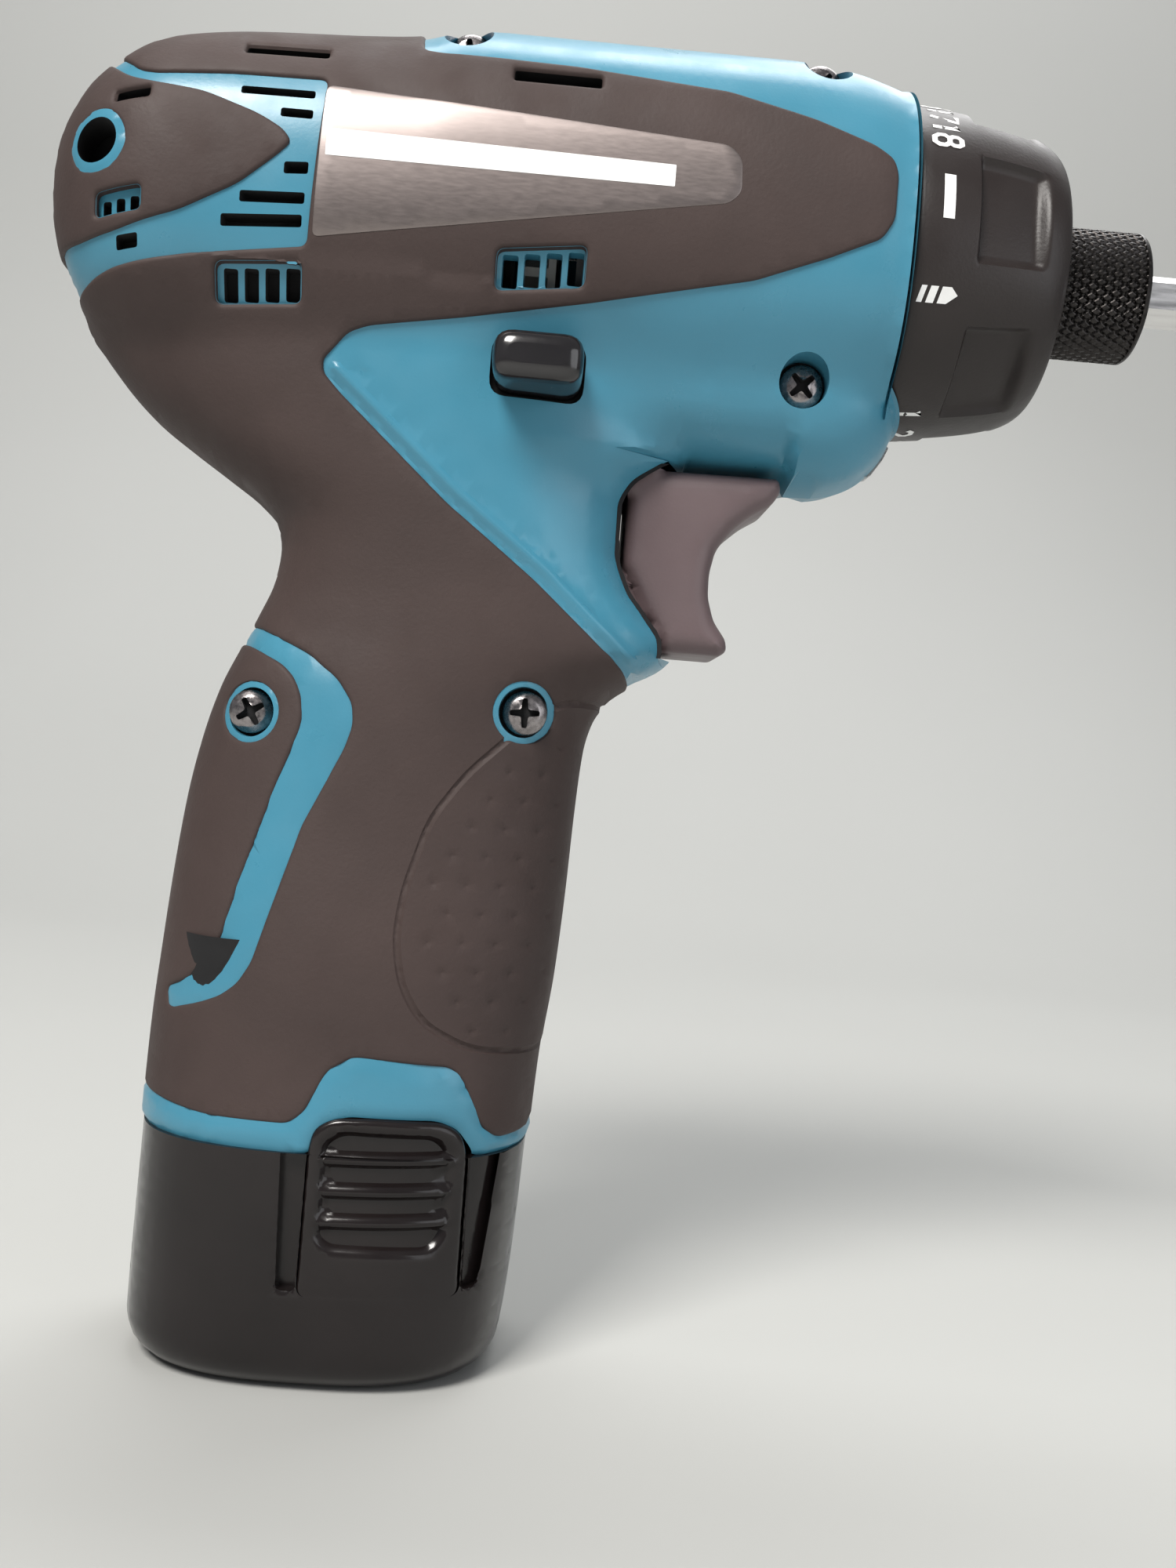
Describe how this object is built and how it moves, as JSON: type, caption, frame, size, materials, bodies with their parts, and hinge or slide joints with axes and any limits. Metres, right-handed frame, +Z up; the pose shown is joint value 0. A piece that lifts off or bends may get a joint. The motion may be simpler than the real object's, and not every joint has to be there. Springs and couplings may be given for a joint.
{
  "type": "cordless drill driver",
  "caption": "Pistol-grip cordless drill driver with soft-grip covers, a clutch ring, a quick-change hex chuck holding a driver bit, and a slide-in battery.",
  "frame": {"origin": "middle of the battery's flat base, which the tool stands on", "axes": "+X to the nose along the spindle, +Z up, +Y to the tool's left-hand side"},
  "size_m": [0.1908, 0.0512, 0.1801],
  "materials": {
    "teal_shell": "fine satin texture",
    "elastomer": "matte moulded elastomer",
    "label": "brushed metallic film",
    "dark_screw": "black oxide",
    "steel": "machined",
    "can_steel": "zinc plated",
    "magnet": "sintered ferrite",
    "bell_plastic": "moulded",
    "carbon": "pressed carbon",
    "case_nylon": "glass-filled nylon",
    "spring_steel": "drawn wire",
    "bronze": "sintered",
    "switch_plastic": "moulded",
    "wire_red": "insulated wire",
    "lens_clear": "clear lens",
    "board_green": "printed board",
    "laminations": "stacked laminations",
    "copper": "enamelled copper",
    "fan_nylon": "white nylon",
    "black_knurl": "black oxide knurl",
    "bit_steel": "nickel",
    "ring_plastic": "fine matte",
    "lever_plastic": "glossy black",
    "trigger_plastic": "fine matte",
    "battery_plastic": "glossy black",
    "cell_wrap": "shrink-wrapped cell, whose density is close to aluminium",
    "contact_brass": "plated"
  },
  "bodies": {
    "tool": {"housing_right": "teal_shell", "housing_left": "teal_shell", "cover_right": "elastomer", "cover_left": "elastomer", "label_plates": "label", "housing_screws": "dark_screw", "motor_can": "can_steel", "motor_magnets": "magnet", "motor_end_bell": "bell_plastic", "motor_bearings": "steel", "carbon_brushes": "carbon", "gear_case": "case_nylon", "gear_case_plate": "case_nylon", "ring_gear_1": "steel", "ring_gear_3": "steel", "clutch_pins": "steel", "clutch_washer": "dark_screw", "clutch_spring": "spring_steel", "spindle_bearing": "bronze", "switch_body": "switch_plastic", "terminal_block": "switch_plastic", "lead_wires": "wire_red", "led_lens": "lens_clear", "led_board": "board_green", "trigger_spring": "spring_steel"},
    "rotor": {"motor_shaft": "steel", "rotor_core": "laminations", "rotor_windings": "copper", "commutator": "copper", "cooling_fan": "fan_nylon", "motor_pinion": "steel"},
    "carrier_1": {"carrier_1": "steel"},
    "carrier_2": {"carrier_2": "steel"},
    "spindle": {"output_spindle": "steel", "retaining_ring": "spring_steel", "sleeve_spring": "spring_steel", "chuck_balls": "spring_steel"},
    "sleeve": {"chuck_sleeve": "black_knurl"},
    "bit": {"driver_bit": "bit_steel"},
    "clutch_ring": {"torque_ring": "ring_plastic", "clutch_nut": "case_nylon"},
    "speed_shift": {"speed_lever": "lever_plastic", "shift_fork": "steel", "ring_gear_2": "steel"},
    "trigger": {"trigger": "trigger_plastic"},
    "direction_lever": {"direction_lever": "lever_plastic"},
    "battery": {"battery_case": "battery_plastic", "battery_cells": "cell_wrap", "battery_terminals": "contact_brass"},
    "latch_right": {"battery_latch_right": "battery_plastic"},
    "latch_left": {"battery_latch_left": "battery_plastic"},
    "planet_1a": {"planet_1a": "steel"},
    "planet_1b": {"planet_1b": "steel"},
    "planet_1c": {"planet_1c": "steel"},
    "planet_2a": {"planet_2a": "steel"},
    "planet_2b": {"planet_2b": "steel"},
    "planet_2c": {"planet_2c": "steel"},
    "planet_3a": {"planet_3a": "steel"},
    "planet_3b": {"planet_3b": "steel"},
    "planet_3c": {"planet_3c": "steel"}
  },
  "joints": [
    {"name": "motor_spin", "type": "hinge", "parent": "tool", "child": "rotor", "pos_m": [-0.003, 0, 0.154], "axis": [1, 0, 0], "continuous": true},
    {"name": "carrier_1_spin", "type": "hinge", "parent": "tool", "child": "carrier_1", "pos_m": [0.028, 0, 0.154], "axis": [1, 0, 0], "continuous": true},
    {"name": "planet_1a_spin", "type": "hinge", "parent": "carrier_1", "child": "planet_1a", "pos_m": [0.0305, 0, 0.1444], "axis": [1, 0, 0], "continuous": true},
    {"name": "planet_1b_spin", "type": "hinge", "parent": "carrier_1", "child": "planet_1b", "pos_m": [0.0305, 0.00831, 0.1588], "axis": [1, 0, 0], "continuous": true},
    {"name": "planet_1c_spin", "type": "hinge", "parent": "carrier_1", "child": "planet_1c", "pos_m": [0.0305, -0.00831, 0.1588], "axis": [1, 0, 0], "continuous": true},
    {"name": "carrier_2_spin", "type": "hinge", "parent": "tool", "child": "carrier_2", "pos_m": [0.0366, 0, 0.154], "axis": [1, 0, 0], "continuous": true},
    {"name": "planet_2a_spin", "type": "hinge", "parent": "carrier_2", "child": "planet_2a", "pos_m": [0.0391, 0, 0.1444], "axis": [1, 0, 0], "continuous": true},
    {"name": "planet_2b_spin", "type": "hinge", "parent": "carrier_2", "child": "planet_2b", "pos_m": [0.0391, 0.00831, 0.1588], "axis": [1, 0, 0], "continuous": true},
    {"name": "planet_2c_spin", "type": "hinge", "parent": "carrier_2", "child": "planet_2c", "pos_m": [0.0391, -0.00831, 0.1588], "axis": [1, 0, 0], "continuous": true},
    {"name": "spindle_spin", "type": "hinge", "parent": "tool", "child": "spindle", "pos_m": [0.0452, 0, 0.154], "axis": [1, 0, 0], "continuous": true},
    {"name": "planet_3a_spin", "type": "hinge", "parent": "spindle", "child": "planet_3a", "pos_m": [0.0477, 0, 0.1444], "axis": [1, 0, 0], "continuous": true},
    {"name": "planet_3b_spin", "type": "hinge", "parent": "spindle", "child": "planet_3b", "pos_m": [0.0477, 0.00831, 0.1588], "axis": [1, 0, 0], "continuous": true},
    {"name": "planet_3c_spin", "type": "hinge", "parent": "spindle", "child": "planet_3c", "pos_m": [0.0477, -0.00831, 0.1588], "axis": [1, 0, 0], "continuous": true},
    {"name": "sleeve_pull", "type": "slide", "parent": "spindle", "child": "sleeve", "axis": [1, 0, 0], "range_m": [0, 0.005], "stiffness_N_per_m": 500, "springref_m": -0.004, "deforming": ["sleeve_spring"]},
    {"name": "bit_release", "type": "slide", "parent": "spindle", "child": "bit", "axis": [1, 0, 0], "range_m": [0, 0.03]},
    {"name": "torque_ring_turn", "type": "hinge", "parent": "tool", "child": "clutch_ring", "pos_m": [0.077, 0, 0.154], "axis": [1, 0, 0], "range_deg": [-111, 204]},
    {"name": "speed_shift_slide", "type": "slide", "parent": "tool", "child": "speed_shift", "axis": [-1, 0, 0], "range_m": [0, 0.004]},
    {"name": "trigger_pull", "type": "slide", "parent": "tool", "child": "trigger", "axis": [-1, 0, 0], "range_m": [0, 0.0065], "stiffness_N_per_m": 700, "springref_m": -0.003, "deforming": ["trigger_spring"]},
    {"name": "direction_push", "type": "slide", "parent": "tool", "child": "direction_lever", "axis": [0, 1, 0], "range_m": [0, 0.004]},
    {"name": "battery_release", "type": "slide", "parent": "tool", "child": "battery", "axis": [0, 0, -1], "range_m": [0, 0.04]},
    {"name": "latch_right_press", "type": "hinge", "parent": "battery", "child": "latch_right", "pos_m": [0.01, -0.02165, 0.0136], "axis": [-1, 0, 0], "range_deg": [0, 4], "stiffness_Nm_per_rad": 0.8},
    {"name": "latch_left_press", "type": "hinge", "parent": "battery", "child": "latch_left", "pos_m": [0.01, 0.02165, 0.0136], "axis": [1, 0, 0], "range_deg": [0, 4], "stiffness_Nm_per_rad": 0.8}
  ],
  "couplings": [
    {"joint": "carrier_1_spin", "follows": "motor_spin", "ratio": 0.25},
    {"joint": "planet_1a_spin", "follows": "motor_spin", "ratio": -0.75},
    {"joint": "planet_1b_spin", "follows": "motor_spin", "ratio": -0.75},
    {"joint": "planet_1c_spin", "follows": "motor_spin", "ratio": -0.75},
    {"joint": "carrier_2_spin", "follows": "motor_spin", "ratio": 0.0625},
    {"joint": "planet_2a_spin", "follows": "motor_spin", "ratio": -0.1875},
    {"joint": "planet_2b_spin", "follows": "motor_spin", "ratio": -0.1875},
    {"joint": "planet_2c_spin", "follows": "motor_spin", "ratio": -0.1875},
    {"joint": "spindle_spin", "follows": "motor_spin", "ratio": 0.015625},
    {"joint": "planet_3a_spin", "follows": "motor_spin", "ratio": -0.046875},
    {"joint": "planet_3b_spin", "follows": "motor_spin", "ratio": -0.046875},
    {"joint": "planet_3c_spin", "follows": "motor_spin", "ratio": -0.046875}
  ]
}
